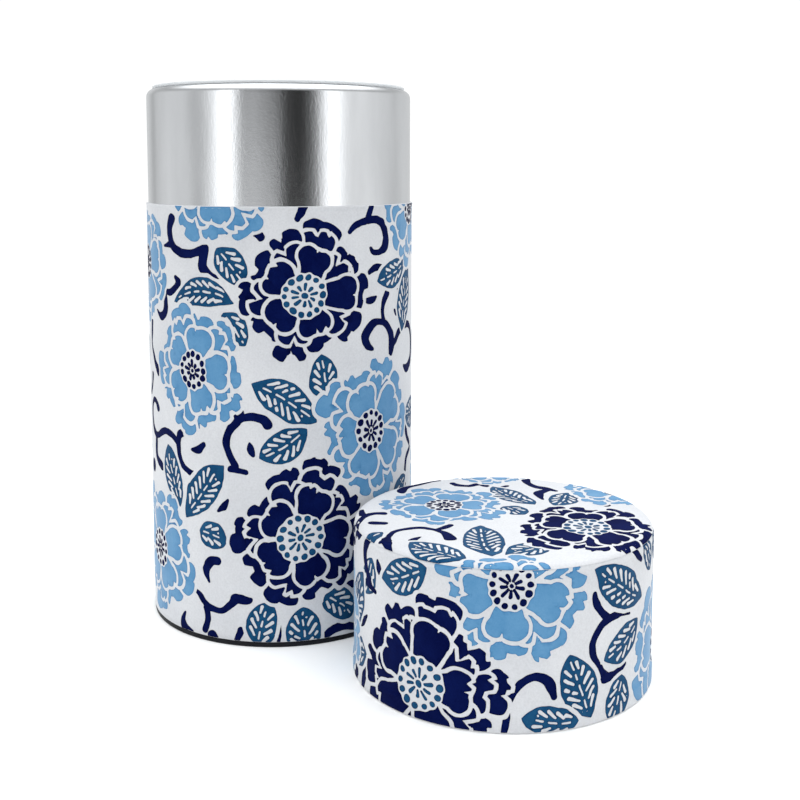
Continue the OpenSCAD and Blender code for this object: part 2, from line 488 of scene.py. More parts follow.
def triangles(field, low_x, low_z, fine):
    """Triangulates the inked area. Returns points in millimetres, triangles and a rim weight.

    A fine mesh follows the tight corner of the lid, where wide triangles would sink into the paper.
    """
    step, passes = (0.75, 1) if fine else (2.0, 3)
    loops = [thin_out(p, 0.05, passes) for p in contours(field)]
    inner = [thin_out(p, 0.08, passes) for p in contours(field + RIM_WIDTH)]
    points, edges, faces = [], [], []
    for group, is_face in ((loops, True), (inner, False)):
        for loop in group:
            if len(loop) < 3:
                continue
            if turned_area(loop) < 0:
                loop = loop[::-1]
            first = len(points)
            points.extend(map(tuple, loop))
            ids = list(range(first, first + len(loop)))
            if is_face:
                faces.append(ids)
            else:
                edges.extend(zip(ids, ids[1:] + ids[:1]))
    stride = int(step / GRID)
    gi, gj = np.nonzero(field[::stride, ::stride] < -0.55)
    points.extend(zip((gj * stride).astype(float), (gi * stride).astype(float)))
    made = delaunay_2d_cdt([Vector(p) for p in points], edges, faces, 1, 1e-5, True)
    out_points, out_faces, owners = made[0], made[2], made[5]
    tris = [f for f, own in zip(out_faces, owners) if len(own) % 2 == 1]
    flat = np.array([(p[0], p[1]) for p in out_points])
    i = np.clip(flat[:, 1].round().astype(int), 0, field.shape[0] - 1)
    j = np.clip(flat[:, 0].round().astype(int), 0, field.shape[1] - 1)
    rim = np.clip(-field[i, j] / RIM_WIDTH, 0, 1)
    flat = flat * GRID + np.array([low_x, low_z])
    return flat, tris, rim


def ink_layer(name, flat, tris, rim, place, material):
    """A thin closed layer of ink laid on a surface by place(x, z, height)."""
    used = sorted({v for t in tris for v in t})
    index = {v: k for k, v in enumerate(used)}
    top = place(flat[used, 0], flat[used, 1], INK_LIFT)
    low = place(flat[used, 0], flat[used, 1], -INK_SINK)
    count = len(used)
    faces, sides = [], {}
    for t in tris:
        ids = [index[v] for v in t]
        faces.append(ids)
        faces.append([count + v for v in reversed(ids)])
        for p, q in zip(ids, ids[1:] + ids[:1]):
            if (q, p) in sides:
                del sides[(q, p)]
            else:
                sides[(p, q)] = True
    faces.extend([q, p, count + p, count + q] for p, q in sides)
    mesh = bpy.data.meshes.new(name)
    mesh.from_pydata(np.concatenate([top, low]).tolist(), [], faces)
    weight = mesh.attributes.new("rim", "FLOAT", "POINT")
    weight.data.foreach_set("value", np.concatenate([rim[used], rim[used]]).astype(np.float32))
    obj = bpy.data.objects.new(name, mesh)
    bpy.context.scene.collection.objects.link(obj)
    mesh.materials.append(material)
    return obj


def print_inks(sheet, title, place, body, fine=False):
    """Turns every ink of a sheet into its own layer, riding with its paper."""
    for name, field in sheet.ink.items():
        flat, tris, rim = triangles(field, sheet.xs[0], sheet.zs[0], fine)
        layer = ink_layer(f"{title}_{name}", flat, tris, rim, place, INK_MATERIALS[name])
        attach(layer, body)


# ---------------------------------------------------------------- layout of the print, in millimetres
# Flowers: along the sheet, up it, radius, height over width, ink, turn; then petal reaches and
# directions of further crescents, where a flower has its own
BODY_FLOWERS = (
    (-48, 102, 16.5, 1, SKY, 12),
    (-13.5, 125.5, 17.5, 1, SKY, 54),
    (52, 117, 16.5, 1, SKY, 70),
    (-40, 21.8, 18.5, 1, SKY, 17, (0.70, 0.62, 0.68, 0.66, 0.66)),
    (-21.8, 74.6, 15.9, 1.12, SKY, 2, (0.70, 0.66, 0.64, 0.64, 0.66)),
    (29.8, 57, 18.2, 1.1, SKY, 38, (0.74, 0.66, 0.58, 0.64, 0.70)),
    (9.9, 95, 17.6, 1, NAVY, 2, (0.84, 0.74, 0.66, 0.64, 0.62), (74,)),
    (8.5, 30, 18.6, 1.04, NAVY, -2, (0.72, 0.74, 0.62, 0.68, 0.66), (70,)),
)
# Leaves: along the sheet, up the sheet, angle, length, width, bend
BODY_LEAVES = (
    (-9.6, 102.8, 312, 12.5, 8, 0.02),
    (-18.8, 94.6, 183, 20, 7.5, -0.16),
    (-8.6, 86.4, 306, 10.5, 7, 0.02),
    (4.6, 67.2, 328, 20, 9.6, 0.05),
    (15, 73, 96, 13.5, 8, 0.02),
    (4.2, 55.5, 212, 14.5, 8.6, 0.06),
    (-30.8, 44.2, 108, 17.5, 8, 0.04),
    (-19, 42, 51, 20.5, 9, 0.02),
    (-16, 30, 350, 9.5, 7, 0.03),
    (-2, 6.4, 72, 13, 8.5, 0.05),
    (9, 4.2, 92, 13.5, 9.4, 0),
    (19.4, 10.3, 318, 11, 8.5, 0.05),
    (39.6, 99.8, 196, 15, 7.5, 0.06),
    (47, 92, 72, 19, 8.5, 0.06),
    (53.5, 58, 184, 12, 9, 0.05),
    (44, 38.5, 200, 9, 5, 0.03),
)
# Vines: points of along, up, width
BODY_VINES = (
    ((-29.3, 114.6, 3), (-30.2, 112, 2.4), (-29.6, 108.8, 2.3), (-27.6, 106.6, 2.4), (-24.4, 105.5, 2.2),
     (-20.8, 106, 2.2), (-17.2, 107, 2.8)),
    ((-29.8, 107.8, 1.8), (-33, 107.6, 0.7)),
    ((-17.4, 106.6, 3.2), (-17.9, 103.6, 2.8), (-17.6, 101.6, 2.6), (-15.4, 100.1, 1.6),
     (-12.4, 99.4, 0.8)),
    ((-28, 99.2, 1.2), (-27, 97.9, 1.9), (-28, 96.3, 1.7), (-30.3, 94.7, 2.1), (-33, 94.8, 1.7),
     (-32.8, 92.2, 2), (-33.4, 89.6, 2.4), (-35.8, 88, 2.1), (-38, 89, 0.7)),
    ((-43.4, 86, 1.6), (-43.8, 82.5, 1.7), (-43.8, 79.3, 1.2), (-42.4, 76.4, 1.4), (-41, 74.2, 1.8),
     (-38.3, 72.1, 3)),
    ((-44, 70.5, 1.8), (-45, 67.6, 1.2), (-47, 65, 1.6)),
    ((-39.6, 61.8, 2.2), (-41, 63.2, 1.6), (-43.4, 63.2, 1.5), (-45.4, 60.8, 1.6), (-45.6, 57.4, 1.6),
     (-43.8, 54.8, 1.7), (-40.4, 54, 1.7), (-37, 55.4, 2.1), (-34, 56.1, 1.9), (-31, 55.1, 1.8),
     (-28.4, 53.6, 2.2)),
    ((-28.2, 53.6, 2), (-27.6, 56.2, 2.2), (-25, 57.6, 1.8)),
    ((-28.3, 53.4, 2.4), (-27.7, 50.4, 1.8), (-25.8, 47.5, 1.8), (-22.8, 46.1, 1.7), (-19.8, 46.8, 0.7)),
    ((-41.2, 53.6, 1.9), (-41.5, 50, 2), (-40.8, 47, 2.1), (-37.2, 45.4, 2.6)),
    ((-45, 44.4, 3), (-45.2, 43.2, 2.6)),
    ((-22.4, 52.6, 0.8), (-20.3, 52.8, 2.3), (-18.4, 54.6, 1.6)),
    ((-8.5, 66.6, 2.2), (-7.4, 64.4, 2), (-8.4, 62.2, 2.8), (-10.4, 59.4, 2), (-11.4, 56, 2),
     (-10.6, 52.6, 1.9), (-8.8, 49.6, 1.9)),
    ((-10.4, 49, 1.8), (-6, 48.3, 1.4)),
    ((-8.2, 62.3, 2), (-4.6, 63.4, 2.2), (-1.4, 62.7, 2.2), (0, 60.8, 2.2)),
    ((-5.1, 56, 0.7), (-4.6, 54.2, 2.2), (-3.8, 52.9, 1.2)),
    ((-14.4, 36.8, 0.8), (-12.5, 38.3, 2), (-11.2, 40.2, 0.9)),
    ((-14.9, 23.2, 2.6), (-17, 22.8, 2.6), (-18.6, 20.1, 2), (-17.6, 17.2, 0.8)),
    ((-23.6, 14.2, 0.9), (-21.1, 13.2, 1.6), (-19.2, 10.8, 1.9), (-17, 9.4, 2), (-13.9, 9.2, 1.6),
     (-10.9, 11.2, 1.7), (-9, 13.4, 2.7), (-5.4, 12.9, 1.8)),
    ((-18.6, 9, 2), (-18.3, 5.8, 1.7), (-19.2, 3.2, 2)),
    ((-26.6, 6.6, 0.8), (-27.4, 4.4, 2), (-26.6, 2.4, 3.2), (-24, 1.4, 2)),
    ((-16.8, 2, 3), (-15.5, 0.6, 2.4)),
    ((-8.2, 4.6, 2), (-9.6, 1.2, 1.6)),
    ((-6.4, 111.2, 0.8), (-3.6, 110.9, 0.9), (-1.4, 110, 1.8)),
    ((-2.2, 112.6, 1.4), (-1.2, 110.2, 1.8)),
    ((9.8, 119, 2.6), (9.4, 117, 2.4), (8.4, 115.2, 1.7)),
    ((22.8, 111.5, 1.3), (25, 113.5, 2), (28.2, 114.5, 2), (31.8, 114.4, 2.2), (34.7, 112.7, 2.5),
     (36, 109.6, 2.6), (35.2, 106.8, 2.4), (33, 105.4, 1.6), (30.7, 105.6, 1.4), (30, 106.6, 1.1)),
    ((28.6, 114.6, 1.7), (29.8, 117.4, 1.9), (30, 119, 1.9)),
    ((29.3, 100.3, 1.2), (31.8, 101.6, 1.9), (34, 101.6, 1.6)),
    ((28, 92.5, 1.3), (30.2, 92.6, 2.1), (31.8, 93.4, 0.9)),
    ((36.3, 94.2, 2.2), (35, 92, 1.8), (34.7, 89, 1.3), (35.2, 86.5, 1.5)),
    ((30.4, 79.4, 1), (28.4, 80.2, 2.4), (27.9, 83.2, 2.8), (29.8, 85.8, 2.6), (33, 86.7, 2),
     (36.6, 85.4, 2), (38.6, 82.6, 2.4), (38.6, 79, 2.2), (37.4, 75.4, 1.2)),
    ((39.8, 80.2, 1.3), (42.3, 82.4, 1.6), (45.5, 83.7, 1.7), (49.3, 84.2, 2), (53, 82.6, 2),
     (55, 78.5, 2), (54, 74, 2.2), (51, 71.9, 2.4), (48.4, 71.6, 2.4), (46.2, 72.8, 1)),
    ((41.8, 95.6, 1), (44.4, 95, 1.8)),
    ((40.4, 89.2, 1), (41.4, 88.2, 1.6)),
    ((48.6, 54.4, 2), (50, 51, 1.8), (52.6, 48.6, 1.6)),
    ((47.8, 38, 1.6), (48, 43, 1.8), (49.6, 46, 1.8), (53, 47.2, 1.6)),
    ((1, 0.6, 2.8), (2.3, 4.2, 1.7), (2.8, 7, 0.6)),
    ((14, 1.4, 2), (17.4, 3.6, 2.4), (21, 4, 2.4), (24, 3, 2)),
    ((21.6, 15.6, 0.8), (23.2, 15.2, 2)),
)
# Filling for the parts of both sheets that face away
BACK_FLOWERS = (
    (-79, 85, 16.5, 1, NAVY, 20),
    (44, 16.5, 17.5, 1.04, NAVY, 30),
)
BACK_LEAVES = (
    (-56, 75, 215, 17, 8.6, 0.04),
    (-58, 86.5, 70, 13, 7.5, 0.04),
    (-92, 70, 120, 14, 8, 0.04),
    (65, 13, 70, 20, 9.5, 0.04),
    (72, 3, 330, 13, 8, 0.03),
    (61, 76, 300, 13, 7.5, 0.04),
)
BACK_VINES = (
    ((-96, 76, 1.6), (-92, 80, 2.2), (-93, 86, 2), (-97, 90, 1.4)),
    ((58, 26, 1.4), (61, 28.5, 2.2), (66, 28, 1.6)),
    ((-58, 10, 1.4), (-55, 5, 2.2), (-58, 1, 1.6)),
)
LID_BACK_FLOWERS = (
    (65, 44.5, 13.5, 1, NAVY, 10),
)
LID_BACK_LEAVES = (
    (51.5, 35.5, 172, 13, 7.5, 0.04),
    (78.5, 27, 250, 11, 6.5, 0.04),
    (-63, 30, 200, 9, 5.5, 0.04),
)
LID_FLOWERS = (
    (53, 10, 20, 1, SKY, 170),
    (-1.4, 34.8, 18.6, 1, SKY, -22, (0.76, 0.7, 0.7, 0.64, 0.68)),
    (-23.3, 8.9, 19.2, 1, NAVY, 2, (0.70, 0.80, 0.69, 0.78, 0.7), (74, 2)),
)
LID_LEAVES = (
    (-28.3, 33.8, 204, 15.5, 9, 0.06),
    (28, 31.4, 148, 21.5, 9.8, 0.02),
    (15.7, 10, 110, 17.5, 9.4, 0.02),
    (8.4, 2.8, 170, 14, 7.5, 0.04),
    (29.2, 17.6, 208, 15, 7.8, 0.06),
    (27.2, 4.2, 252, 12, 8, 0.04),
    (-49.5, 21, 64, 19, 9, 0.05),
    (-48.5, 8.8, 184, 11.5, 7.6, 0.03),
    (41.5, 35.2, 300, 10, 6, 0.03),
)
LID_VINES = (
    ((-42.4, 39.2, 2.8), (-43.7, 35.4, 2.2), (-43, 32, 2.1), (-41.8, 29.6, 2.4), (-41.2, 28.2, 2.6)),
    ((-42.2, 28.2, 2), (-38.6, 27.2, 1.3)),
    ((-37.4, 35.3, 0.8), (-36.9, 33.6, 2), (-36.4, 31.9, 0.7)),
    ((-42.9, 19.8, 0.8), (-45, 17.5, 2.1), (-47.2, 15.6, 1.2)),
    ((-43.6, 5, 2.6), (-45.2, 0.4, 1.6)),
    ((-49.6, 3, 3.2), (-51, 1, 3)),
    ((-2.7, 0, 1.6), (-2.1, 3.4, 1.9), (-1.7, 6.6, 1.6), (-0.8, 9.6, 1.6), (1.4, 12.6, 1.9),
     (4.6, 13.8, 1.9), (7.4, 12.6, 2.4), (8.8, 10.2, 2.4), (9.2, 8.6, 1.7)),
    ((-2.5, 11.2, 0.6), (-1.3, 9, 1.2)),
    ((19.2, 31.6, 1.4), (19.9, 29.2, 2), (21.4, 27, 1.7), (23.4, 25.2, 2.2)),
    ((31.2, 24, 0.8), (28, 24.7, 1.5), (24.3, 24.8, 2.1), (21.1, 23.3, 1.9), (19, 20.2, 1.9),
     (19.4, 17.1, 1.9), (21, 13.8, 1.3), (22.9, 10.6, 2.6)),
    ((22.6, 10.3, 2.6), (26.1, 10.7, 2.1), (30, 12.1, 1.3)),
    ((32, 41, 1.6), (34.2, 38, 2.2), (36.6, 35.4, 1.4)),
)
TOP_FLOWERS = (
    (-1, 41, 12, 1, SKY, 20),
    (34, 22, 14.5, 1, SKY, 50),
    (-2, -44.5, 14, 1, SKY, 35),
    (-14.6, 8.8, 16.8, 1, SKY, 0, (0.64, 0.66, 0.66, 0.7, 0.62)),
    (20.2, -9.4, 17.2, 1.08, NAVY, 10, (0.72, 0.62, 0.66, 0.72, 0.78), (226,)),
)
TOP_LEAVES = (
    (4, 17.8, 120, 20, 8.5, 0.06),
    (3.4, 4.2, 300, 9, 7, 0.02),
    (17.7, 14.3, 250, 12.5, 8, 0.05),
    (-6, -20, 92, 22.5, 10.6, 0.02),
    (-18, -28, 136, 18, 10, 0.03),
    (4, -26.2, 216, 14.5, 8, 0.05),
    (-33.2, -17.4, 232, 8.5, 4, 0.04),
)
TOP_VINES = (
    ((-29.2, -25.8, 1.2), (-29.6, -21.4, 2.4), (-29.2, -17.6, 1.7), (-27.6, -13.8, 1.6),
     (-24.8, -11.3, 1.8), (-21, -10.7, 1.8), (-17.4, -12, 1.8), (-15.2, -15, 2), (-14.3, -18.6, 2.7)),
    ((-29.6, -20.3, 2.2), (-31, -20.8, 1)),
    ((-17, -11.8, 1.6), (-15.2, -10.2, 2), (-13.8, -8.6, 1.9)),
    ((-24, -20.4, 1.4), (-22.6, -19.4, 2), (-21.2, -17.7, 0.6)),
    ((-11.4, 29.6, 1.8), (-10, 28, 2), (-7, 27.2, 1.9), (-3.6, 29.4, 2.5), (-2.2, 27.2, 2),
     (0.6, 26, 1.3), (3.8, 27.2, 1.5)),
    ((9.6, 33.6, 2.8), (10.2, 30, 2), (12, 26.4, 2), (14.4, 24, 2.1), (16.6, 22.2, 1.2)),
    ((14.6, 23.2, 2.2), (12, 20.6, 3), (12, 17.4, 2), (12.2, 14.2, 0.8)),
    ((25.8, 14, 0.7), (27, 11, 1.4), (28.4, 8.8, 2.4)),
    ((-15, 32.4, 1), (-20.6, 29, 1.2), (-24.4, 25.2, 1.7), (-26, 22, 2.6), (-26, 20.2, 1.6)),
    ((-30.8, 1.3, 1.9), (-33.2, 1, 1.8), (-35.4, -1.6, 1.7), (-37, -6, 1.5), (-38, -12, 1.2)),
    ((-36.4, 4, 1.4), (-36, 0, 2.2)),
    ((-33.4, -6.8, 2.6), (-30.4, -7.1, 2.2)),
)


def fill(sheet, vines, leaves, flowers, shifts=((0.0, 0.0),)):
    """Prints the vines, then the leaves, then the flowers, once for each shift of the layout."""
    for dx, dz in shifts:
        for points in vines:
            vine(sheet, points, dx, dz)
    for dx, dz in shifts:
        for x, z, *rest in leaves:
            leaf(sheet, x + dx, z + dz, *rest)
    for dx, dz in shifts:
        for x, z, *rest in flowers:
            flower(sheet, x + dx, z + dz, *rest)


# ---------------------------------------------------------------- materials
def material(name):
    """A new node material; returns it with its node tree and its Principled shader."""
    mat = bpy.data.materials.new(name)
    mat.use_nodes = True
    tree = mat.node_tree
    return mat, tree, tree.nodes["Principled BSDF"]


def add(tree, kind, **settings):
    """Adds a node; settings name either its properties or its input sockets."""
    node = tree.nodes.new(kind)
    for key, value in settings.items():
        if hasattr(node, key):
            setattr(node, key, value)
        else:
            node.inputs[key.replace("_", " ")].default_value = value
    return node


def object_coords(tree, scale=(1, 1, 1)):
    """Object coordinates, stretched by a scale for each axis."""
    coords = add(tree, "ShaderNodeTexCoord")
    mapping = add(tree, "ShaderNodeMapping", Scale=scale)
    tree.links.new(coords.outputs["Object"], mapping.inputs["Vector"])
    return mapping.outputs["Vector"]


def noise(tree, vector, scale, detail=3.0, roughness=0.5, distortion=0.0):
    node = add(tree, "ShaderNodeTexNoise", Scale=scale, Detail=detail, Roughness=roughness,
               Distortion=distortion)
    tree.links.new(vector, node.inputs["Vector"])
    return node.outputs["Fac"]


def ramp(tree, value, stops):
    """A colour ramp over value; stops are (position, grey or colour)."""
    node = add(tree, "ShaderNodeValToRGB")
    tree.links.new(value, node.inputs["Fac"])
    elements = node.color_ramp.elements
    while len(elements) < len(stops):
        elements.new(0.5)
    for element, (position, colour) in zip(elements, stops):
        element.position = position
        rgb = (colour,) * 3 if isinstance(colour, (int, float)) else colour
        element.color = (*rgb, 1.0)
    return node.outputs["Color"]


def mix(tree, factor, first, second, blend="MIX"):
    """Mixes two colours; each may be a socket or a colour."""
    node = tree.nodes.new("ShaderNodeMix")
    node.data_type = "RGBA"
    node.blend_type = blend
    for socket, value in ((node.inputs[0], factor), (node.inputs[6], first), (node.inputs[7], second)):
        if isinstance(value, bpy.types.NodeSocket):
            tree.links.new(value, socket)
        elif isinstance(value, (int, float)):
            socket.default_value = value
        else:
            socket.default_value = (*value, 1.0)
    return node.outputs[2]


def bump(tree, shader, height, distance, strength=1.0):
    node = add(tree, "ShaderNodeBump", Strength=strength, Distance=distance)
    tree.links.new(height, node.inputs["Height"])
    tree.links.new(node.outputs["Normal"], shader.inputs["Normal"])


def math_node(tree, operation, first, second=None):
    node = add(tree, "ShaderNodeMath", operation=operation)
    for socket, value in zip(node.inputs, (first, second)):
        if isinstance(value, bpy.types.NodeSocket):
            tree.links.new(value, socket)
        elif value is not None:
            socket.default_value = value
    return node.outputs[0]


def weighted(tree, first, first_share, second, second_share):
    """The sum of two values, each times its share."""
    first = math_node(tree, "MULTIPLY", first, first_share)
    second = math_node(tree, "MULTIPLY", second, second_share)
    return math_node(tree, "ADD", first, second)


def tune(shader, **settings):
    """Sets constants on a shader's own sockets; an underscore stands for a space."""
    for key, value in settings.items():
        shader.inputs[key.replace("_", " ")].default_value = value


def fibre_height(tree):
    """Relief of long-fibred paper: a fine felt with scattered longer fibres."""
    felt = noise(tree, object_coords(tree), 2600, 4.0, 0.6)
    long = noise(tree, object_coords(tree, (1, 1, 0.22)), 1500, 2.0, 0.55, 1.2)
    cross = noise(tree, object_coords(tree, (0.25, 0.25, 1)), 1300, 2.0, 0.55, 1.0)
    both = math_node(tree, "ADD", long, cross)
    return math_node(tree, "ADD", math_node(tree, "MULTIPLY", both, 0.5), felt)


def paper_material():
    mat, tree, shader = material("washi_paper")
    vector = object_coords(tree)
    shades = ((0.3, (0.628, 0.636, 0.662)), (0.7, (0.700, 0.706, 0.726)))
    cloud = ramp(tree, noise(tree, vector, 60, 3.0), shades)
    felt = ramp(tree, noise(tree, vector, 1900, 4.0, 0.65), ((0.32, 0.90), (0.62, 1.0)))
    tree.links.new(mix(tree, 1.0, cloud, felt, "MULTIPLY"), shader.inputs["Base Color"])
    tune(shader, Roughness=0.85, Specular_IOR_Level=0.2, Sheen_Weight=0.22, Sheen_Roughness=0.4)
    bump(tree, shader, fibre_height(tree), 0.00005, 0.5)
    return mat


def ink_material(name, deep, body, light, level, sheen):
    """Water-based ink soaked into paper: mottled inside, and darker along its edge."""
    mat, tree, shader = material(name)
    vector = object_coords(tree)
    broad = noise(tree, vector, 130, 3.0, 0.6)
    grain = noise(tree, vector, 2300, 4.0, 0.7)
    blotch = weighted(tree, broad, 0.62, grain, 0.38)
    colour = ramp(tree, blotch, ((0.36, body), (0.64, light)))
    rim = add(tree, "ShaderNodeAttribute", attribute_name="rim")
    colour = mix(tree, rim.outputs["Fac"], deep, colour)
    tree.links.new(colour, shader.inputs["Base Color"])
    tune(shader, Roughness=0.7, Specular_IOR_Level=level, Sheen_Weight=sheen, Sheen_Roughness=0.4)
    bump(tree, shader, fibre_height(tree), 0.00004, 0.45)
    return mat


def tinplate_material(name, roughness=0.12, scuffed=True):
    """Bright rolled tinplate: fine grain along the roll, a few specks and faint scuffs."""
    mat, tree, shader = material(name)
    grain = noise(tree, object_coords(tree, (1, 1, 0.3)), 1300, 3.0, 0.65)
    speck = noise(tree, object_coords(tree), 1500, 4.0, 0.75)
    cloud = noise(tree, object_coords(tree, (1, 1, 0.3)), 90, 3.0, 0.6)
    tone = ramp(tree, cloud, ((0.3, (0.70, 0.705, 0.72)), (0.7, (0.78, 0.785, 0.80))))
    dots = ramp(tree, speck, ((0.70, 1.0), (0.78, 0.82)))
    tree.links.new(mix(tree, 1.0, tone, dots, "MULTIPLY"), shader.inputs["Base Color"])
    tune(shader, Metallic=1.0)
    wear = weighted(tree, cloud, 0.6, speck, 0.4)
    rough = ramp(tree, wear, ((0.35, roughness * 0.85), (0.65, roughness * 1.2)))
    tree.links.new(rough, shader.inputs["Roughness"])
    height = weighted(tree, grain, 0.6, speck, 0.5 if scuffed else 0.2)
    bump(tree, shader, height, 0.00004, 0.8)
    return mat


def plastic_material():
    """Milky translucent polyethylene with a soft moulded skin."""
    mat, tree, shader = material("milky_plastic")
    vector = object_coords(tree)
    cloud = ramp(tree, noise(tree, vector, 70, 2.0), ((0.3, (0.66, 0.68, 0.70)), (0.7, (0.71, 0.73, 0.745))))
    tree.links.new(cloud, shader.inputs["Base Color"])
    tune(shader, Roughness=0.36, Subsurface_Weight=0.35, Subsurface_Radius=(0.004, 0.004, 0.004),
         Subsurface_Scale=0.5)
    bump(tree, shader, noise(tree, vector, 900, 3.0), 0.00002, 0.4)
    return mat


def near_black_material():
    """Near-black colour on the base pan, slightly dusty and rubbed."""
    mat, tree, shader = material("near_black_base")
    vector = object_coords(tree)
    # The base pan's colour: near black all over, varied at random.
    shades = ((0.35, (0.003, 0.004, 0.006)), (0.72, (0.010, 0.011, 0.015)))
    tone = ramp(tree, noise(tree, vector, 400, 4.0, 0.65), shades)
    tree.links.new(tone, shader.inputs["Base Color"])
    rough = ramp(tree, noise(tree, vector, 240, 3.0), ((0.3, 0.40), (0.7, 0.55)))
    tree.links.new(rough, shader.inputs["Roughness"])
    tune(shader, Specular_IOR_Level=0.15)
    bump(tree, shader, noise(tree, vector, 1400, 3.0), 0.00002, 0.5)
    return mat


def floor_material():
    """Pale floor, a little darker away from the tin, so that the metal doesn't mirror plain white."""
    mat, tree, shader = material("pale_floor")
    distance = tree.nodes.new("ShaderNodeVectorMath")
    distance.operation = "LENGTH"
    tree.links.new(object_coords(tree), distance.inputs[0])
    tone = ramp(tree, distance.outputs["Value"], ((0.12, 0.91), (0.34, 0.63)))
    tree.links.new(tone, shader.inputs["Base Color"])
    tune(shader, Roughness=0.9, Specular_IOR_Level=0.1, Emission_Color=(1, 1, 1, 1),
         Emission_Strength=0.10)
    return mat


PAPER = paper_material()
INK_MATERIALS = {
    NAVY: ink_material("navy_print", (0.0004, 0.0012, 0.022), (0.0008, 0.0028, 0.040),
                       (0.0026, 0.0080, 0.070), 0.01, 0.04),
    SKY: ink_material("sky_print", (0.034, 0.155, 0.335), (0.082, 0.245, 0.450),
                      (0.126, 0.304, 0.508), 0.10, 0.36),
    TEAL: ink_material("teal_print", (0.002, 0.027, 0.082), (0.0034, 0.050, 0.132),
                       (0.013, 0.084, 0.190), 0.04, 0.14),
}
TINPLATE = tinplate_material("tinplate")
DULL_TINPLATE = tinplate_material("inside_tinplate", 0.3, False)
PLASTIC = plastic_material()
NEAR_BLACK = near_black_material()


# ---------------------------------------------------------------- paper sheets and their surfaces
class Surface:
    """A turned paper surface: an outline of (radius, height), measured along its length."""

    def __init__(self, axis, outline, radius, start=0.0):
        self.axis, self.radius = axis, radius
        pts = np.array(outline)
        step = np.diff(pts, axis=0)
        length = np.hypot(step[:, 0], step[:, 1])
        self.along = np.concatenate([[0], np.cumsum(length)]) + start
        slope = np.concatenate([step / length[:, None], [step[-1] / length[-1]]])
        self.r, self.z = pts[:, 0], pts[:, 1]
        self.nr, self.nz = slope[:, 1], -slope[:, 0]

    def place(self, x, s, height):
        """Points above the surface: x runs round it, s runs up its outline."""
        s = np.clip(s, self.along[0], self.along[-1])
        nr, nz = np.interp(s, self.along, self.nr), np.interp(s, self.along, self.nz)
        size = np.hypot(nr, nz)
        raised = height + overlap_rise(x, self.radius)
        r = np.interp(s, self.along, self.r) + raised * nr / size
        z = np.interp(s, self.along, self.z) + raised * nz / size
        angle = x / self.radius
        points = [self.axis[0] + r * np.sin(angle), self.axis[1] - r * np.cos(angle), z]
        return np.stack(points, 1) * MM


OVERLAP = 6.0


def overlap_rise(x, radius):
    """How far the sheet's outer end lies over its inner end, near the seam at the back."""
    back = math.pi * radius
    t = np.clip((x - (back - OVERLAP)) / 1.2, 0, 1)
    return PAPER_T * 0.9 * t * t * (3 - 2 * t)


def paper_tube(name, surface, inner, node, body):
    """A closed sheet of paper rolled round the tin, with its overlapped seam at the back."""
    back = math.pi * surface.radius
    single = np.linspace(-back, back - OVERLAP - 0.5, 360)
    xs = np.concatenate([single, np.linspace(back - OVERLAP, back, 24)])
    s = surface.along
    outer = [surface.place(np.full(len(s), x), s, 0.0) for x in xs]
    lining = [surface_points(surface.axis, inner, x / surface.radius) for x in xs]
    section = len(s) + len(inner)
    verts = [tuple(p) for o, l in zip(outer, lining) for p in (*o, *l)]
    faces = []
    for i in range(len(xs) - 1):
        for k in range(section):
            m = (k + 1) % section
            faces.append([i * section + k, (i + 1) * section + k, (i + 1) * section + m, i * section + m])
    last = (len(xs) - 1) * section
    faces.append(list(range(section)))
    faces.append([last + k for k in reversed(range(section))])
    mesh = bpy.data.meshes.new(name)
    mesh.from_pydata(verts, [], faces)
    obj = make_object(name, mesh, PAPER, 50)
    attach(obj, body)
    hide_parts(node)


def surface_points(axis, outline, angle):
    """An outline of (radius, height) set at one angle round its axis."""
    across, ahead = math.sin(angle), math.cos(angle)
    return [((axis[0] + r * across) * MM, (axis[1] - r * ahead) * MM, z * MM) for r, z in outline]


def body_paper():
    """The body's sheet, turned over the top edge, with its print."""
    lip = PAPER_R + 0.15
    outline = [(PAPER_R - 0.04, BODY_FOOT), (PAPER_R, BODY_FOOT + 0.05)]
    outline += [(PAPER_R, z) for z in np.linspace(BODY_FOOT + 2, BODY_TOP - 1.4, 24)]
    outline += [(PAPER_R + 0.05, BODY_TOP - 0.9), (lip, BODY_TOP - 0.55)]
    outline += arc(lip - 0.2, BODY_TOP - 0.2, 0.2, 0, 90, 4)
    outer = Surface(TIN_AXIS, outline, PAPER_R, BODY_FOOT)
    inner = [(NECK_R + 0.03, BODY_TOP), (NECK_R + 0.03, BODY_TOP - PAPER_T)]
    inner += [(SHELL_R, BODY_TOP - PAPER_T), (SHELL_R, BODY_FOOT)]
    paper_tube("body_washi", outer, inner, "body_paper", "tin")
    half = math.pi * PAPER_R
    sheet = Print(-half, half, 0, BODY_TOP, 11)
    shifts = [(0.0, 0.0)]
    for side in (-1, 1):
        shifts += [(side * half, lift) for lift in (-62.0, 58.0)]
    fill(sheet, BACK_VINES, BACK_LEAVES, BACK_FLOWERS)
    fill(sheet, BODY_VINES, BODY_LEAVES, BODY_FLOWERS, shifts)
    x, z = sheet.plain
    sheet.trim(np.maximum(np.abs(x) - half + 0.1, np.maximum(BODY_FOOT + 0.08 - z, z - BODY_TOP + 0.12)))
    print_inks(sheet, "body_print", outer.place, "tin")


